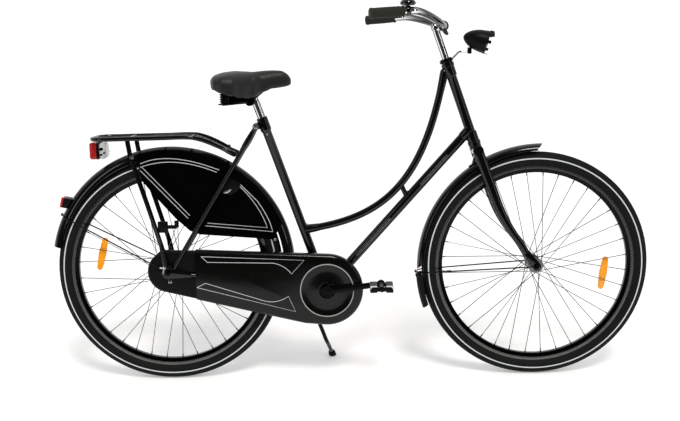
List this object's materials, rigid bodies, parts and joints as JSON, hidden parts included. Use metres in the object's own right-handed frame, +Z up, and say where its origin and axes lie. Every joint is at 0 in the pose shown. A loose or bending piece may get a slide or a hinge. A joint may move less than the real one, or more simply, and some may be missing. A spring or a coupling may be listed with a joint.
{
  "type": "city bicycle",
  "caption": "Step-through city bicycle on its side stand, with swept bars, a sprung saddle, full chain case, mudguards, coat guards, rear carrier, bell, headlamp and rear light.",
  "frame": {"origin": "middle of the bounding box on the floor, with the bicycle leaning on its stand", "axes": "+X towards the front wheel, +Y towards the rider's left (the stand's side), +Z up"},
  "size_m": [1.8802, 0.585, 1.1985],
  "materials": {
    "black_paint": "gloss",
    "black_plastic": "matte",
    "case_plastic": "satin gloss",
    "guard_vinyl": "smooth vinyl",
    "chrome": "polished",
    "steel": "plain",
    "dark_steel": "black zinc",
    "rim_paint": "gloss",
    "tyre": "matte",
    "rubber": "matte",
    "grip_rubber": "matte",
    "saddle_skin": "grained vinyl",
    "spring_black": "satin",
    "red_lens": "moulded prisms",
    "orange_lens": "moulded prisms",
    "clear_lens": "clear"
  },
  "bodies": {
    "frame": {"head_tube": "black_paint", "top_tube": "black_paint", "down_tube": "black_paint", "seat_tube": "black_paint", "bottom_bracket_shell": "black_paint", "chain_stay_right": "black_paint", "chain_stay_left": "black_paint", "seat_stay_right": "black_paint", "seat_stay_left": "black_paint", "seat_stay_bolt": "chrome", "rear_mudguard": "black_paint", "rear_axle": "chrome", "rear_mudguard_stays": "dark_steel", "mudguard_reflector": "red_lens", "coat_guard_right": "guard_vinyl", "coat_guard_left": "guard_vinyl", "chain_case": "case_plastic", "chain_case_rear_cap": "black_plastic", "chain_case_disc": "case_plastic", "chain": "steel", "brake_arm": "chrome", "carrier": "black_paint", "rear_light_lens": "red_lens", "rear_light_housing": "clear_lens", "kickstand_bracket": "dark_steel"},
    "steering": {"fork": "black_paint", "front_axle": "chrome", "front_mudguard": "black_paint", "mud_flap": "rubber", "front_mudguard_stays": "dark_steel", "lamp_bracket": "chrome"},
    "stem": {"stem": "chrome"},
    "handlebar": {"handlebar": "chrome", "grip_right": "grip_rubber", "grip_left": "grip_rubber", "bell": "chrome"},
    "bell_lever": {"bell_lever": "chrome"},
    "headlamp": {"lamp_shell": "black_plastic", "lamp_lens": "clear_lens"},
    "front_wheel": {"front_tyre": "tyre", "front_rim": "rim_paint", "front_hub_and_spokes": "steel", "front_spoke_reflector": "orange_lens"},
    "rear_wheel": {"rear_tyre": "tyre", "rear_rim": "rim_paint", "rear_hub_and_spokes": "steel", "rear_spoke_reflector": "orange_lens"},
    "rear_driver": {"rear_sprocket": "steel"},
    "crankset": {"chainring": "steel", "crank_right": "dark_steel", "crank_left": "dark_steel"},
    "pedal_right": {"pedal_right": "black_plastic"},
    "pedal_left": {"pedal_left": "black_plastic"},
    "seat_post": {"seat_post": "chrome"},
    "saddle": {"saddle_frame": "dark_steel", "saddle_spring_right": "spring_black", "saddle_spring_left": "spring_black", "saddle_cover": "saddle_skin"},
    "kickstand": {"kickstand_leg": "dark_steel", "kickstand_foot": "rubber"}
  },
  "joints": [
    {"name": "steering", "type": "hinge", "parent": "frame", "child": "steering", "pos_m": [0.39466, -0.04065, 0.74001], "axis": [-0.3223, 0.098, 0.9416], "range_deg": [-75, 75]},
    {"name": "stem_height", "type": "slide", "parent": "steering", "child": "stem", "axis": [-0.3223, 0.098, 0.9416], "range_m": [-0.04, 0.04]},
    {"name": "bar_tilt", "type": "hinge", "parent": "stem", "child": "handlebar", "pos_m": [0.29666, -0.00319, 1.10006], "axis": [0, 0.9946, -0.1035], "range_deg": [-20, 20]},
    {"name": "bell_thumb_lever", "type": "hinge", "parent": "handlebar", "child": "bell_lever", "pos_m": [0.17521, -0.23118, 1.17806], "axis": [0, 0.1035, 0.9946], "range_deg": [0, 25], "stiffness_Nm_per_rad": 0.02},
    {"name": "lamp_tilt", "type": "hinge", "parent": "steering", "child": "headlamp", "pos_m": [0.37916, -0.01147, 1.02049], "axis": [0, 0.9946, -0.1035], "range_deg": [-15, 15]},
    {"name": "front_wheel_spin", "type": "hinge", "parent": "steering", "child": "front_wheel", "pos_m": [0.58516, -0.08065, 0.35558], "axis": [0, 0.9946, -0.1035], "continuous": true},
    {"name": "rear_wheel_spin", "type": "hinge", "parent": "frame", "child": "rear_wheel", "pos_m": [-0.57084, -0.08065, 0.35558], "axis": [0, 0.9946, -0.1035], "continuous": true},
    {"name": "crank_spin", "type": "hinge", "parent": "frame", "child": "crankset", "pos_m": [-0.07284, -0.08712, 0.29342], "axis": [0, 0.9946, -0.1035], "continuous": true},
    {"name": "driver_spin", "type": "hinge", "parent": "frame", "child": "rear_driver", "pos_m": [-0.57084, -0.08065, 0.35558], "axis": [0, 0.9946, -0.1035], "continuous": true},
    {"name": "pedal_right_spin", "type": "hinge", "parent": "crankset", "child": "pedal_right", "pos_m": [0.09589, -0.20433, 0.32644], "axis": [0, 0.9946, -0.1035], "continuous": true},
    {"name": "pedal_left_spin", "type": "hinge", "parent": "crankset", "child": "pedal_left", "pos_m": [-0.24158, 0.0301, 0.26039], "axis": [0, 0.9946, -0.1035], "continuous": true},
    {"name": "seat_height", "type": "slide", "parent": "frame", "child": "seat_post", "axis": [-0.3297, 0.0977, 0.939], "range_m": [-0.03, 0.06]},
    {"name": "saddle_tilt", "type": "hinge", "parent": "seat_post", "child": "saddle", "pos_m": [-0.30315, -0.02596, 0.88124], "axis": [0, 0.9946, -0.1035], "range_deg": [-15, 15]},
    {"name": "stand_fold", "type": "hinge", "parent": "frame", "child": "kickstand", "pos_m": [-0.13884, -0.04791, 0.2451], "axis": [0, 0.9975, 0.0708], "range_deg": [0, 105]}
  ],
  "couplings": [
    {"joint": "driver_spin", "follows": "crank_spin", "ratio": 2.3158}
  ]
}
